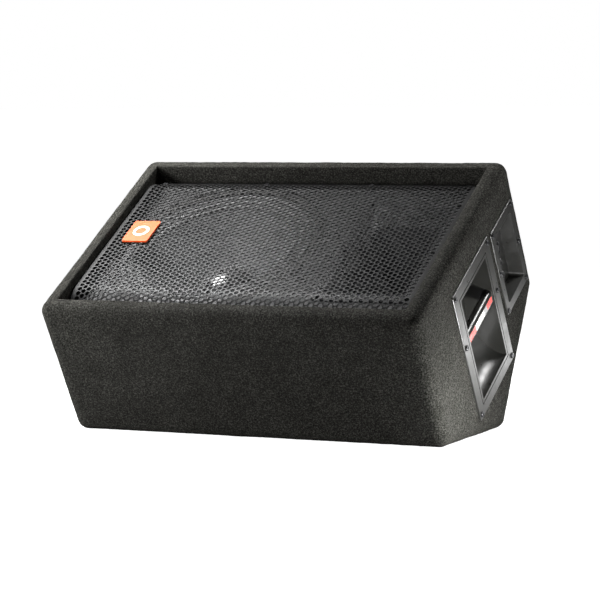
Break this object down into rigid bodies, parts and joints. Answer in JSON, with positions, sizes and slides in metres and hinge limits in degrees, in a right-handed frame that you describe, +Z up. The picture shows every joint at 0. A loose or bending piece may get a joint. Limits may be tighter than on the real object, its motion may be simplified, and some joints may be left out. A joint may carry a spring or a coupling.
{
  "type": "stage monitor wedge",
  "caption": "Carpet-covered two-way stage monitor wedge with a bowed perforated grille, woofer, horn, side handle and input recess.",
  "frame": {"origin": "centre of the face that the wedge stands on", "axes": "+X along the long side, away from the plain end and towards the handle end; +Z up; the grille looks up and towards -Y"},
  "size_m": [0.5642, 0.4275, 0.3667],
  "materials": {
    "plywood": "bare sanded plywood",
    "painted_board": "plywood painted matte black",
    "wadding": "loose fibre wadding",
    "carpet": "needle-felt cabinet carpet",
    "grille_steel": "satin black powder coat on perforated steel",
    "black_screw": "black-oxide",
    "badge_orange": "gloss",
    "badge_white": "gloss",
    "black_plastic": "matte",
    "basket_steel": "satin black",
    "gasket_rubber": "matte",
    "surround_cloth": "coated pleated cloth",
    "cone_paper": "black pressed paper",
    "dust_cap_paper": "coated paper",
    "spider_cloth": "resin-stiffened cloth",
    "coil_former": "plain",
    "copper": "enamelled copper wire",
    "plated_steel": "zinc plated",
    "ferrite": "dull ferrite",
    "horn_plastic": "semi-gloss moulded",
    "diaphragm_film": "thin foil",
    "cup_plastic": "fine-textured moulded black plastic",
    "inlay_red": "gloss",
    "inlay_grey": "gloss",
    "nut_chrome": "nickel plated",
    "circuit_board": "glass-epoxy board",
    "standoff_nylon": "nylon",
    "capacitor_film": "wrapped film",
    "resistor_ceramic": "cement",
    "wire_sleeve": "PVC sleeve"
  },
  "bodies": {
    "cabinet": {"back_panel": "plywood", "badge_plate": "badge_orange", "badge_posts": "black_plastic", "badge_ring": "badge_white", "baffle_battens": "plywood", "baffle_board": "painted_board", "bar_inlay_grey": "inlay_grey", "bar_inlay_red": "inlay_red", "bar_inlay_white": "badge_white", "carpet_left_end": "carpet", "carpet_right_end": "carpet", "carpet_wrap": "carpet", "crossover_board": "circuit_board", "crossover_capacitors": "capacitor_film", "crossover_coils": "copper", "crossover_resistors": "resistor_ceramic", "crossover_standoffs": "standoff_nylon", "crossover_terminal_block": "black_plastic", "damping_wadding": "wadding", "diaphragm_clamp_ring": "black_plastic", "driver_bolts": "plated_steel", "driver_magnet": "ferrite", "driver_pole_plate": "plated_steel", "driver_rear_cover": "black_plastic", "driver_top_plate": "plated_steel", "end_panel_left": "plywood", "end_panel_right": "plywood", "floor_panel": "plywood", "front_panel": "plywood", "grille": "grille_steel", "grille_screws": "black_screw", "handle_bar": "cup_plastic", "handle_cup": "cup_plastic", "handle_screws": "black_screw", "horn": "horn_plastic", "horn_screws": "black_screw", "horn_wire": "wire_sleeve", "input_cup": "cup_plastic", "input_screws": "black_screw", "input_wire": "wire_sleeve", "phase_plug": "black_plastic", "phone_jack_nuts": "nut_chrome", "phone_jacks": "black_plastic", "rear_panel": "plywood", "twist_lock_sockets": "black_plastic", "woofer_basket": "basket_steel", "woofer_gasket": "gasket_rubber", "woofer_magnet": "ferrite", "woofer_screws": "black_screw", "woofer_spider": "spider_cloth", "woofer_surround": "surround_cloth", "woofer_terminals": "black_plastic", "woofer_top_plate": "plated_steel", "woofer_wire": "wire_sleeve", "woofer_yoke": "plated_steel"},
    "woofer_moving_parts": {"woofer_cone": "cone_paper", "woofer_dust_cap": "dust_cap_paper", "voice_coil_former": "coil_former", "voice_coil_winding": "copper"},
    "driver_diaphragm": {"driver_diaphragm": "diaphragm_film"}
  },
  "joints": [
    {"name": "woofer_excursion", "type": "slide", "parent": "cabinet", "child": "woofer_moving_parts", "axis": [0, -0.5068, 0.8621], "range_m": [-0.005, 0.005], "stiffness_N_per_m": 3000, "deforming": ["woofer_surround", "woofer_spider"]},
    {"name": "diaphragm_excursion", "type": "slide", "parent": "cabinet", "child": "driver_diaphragm", "axis": [0, -0.5068, 0.8621], "range_m": [-0.0003, 0.0003], "stiffness_N_per_m": 200}
  ]
}
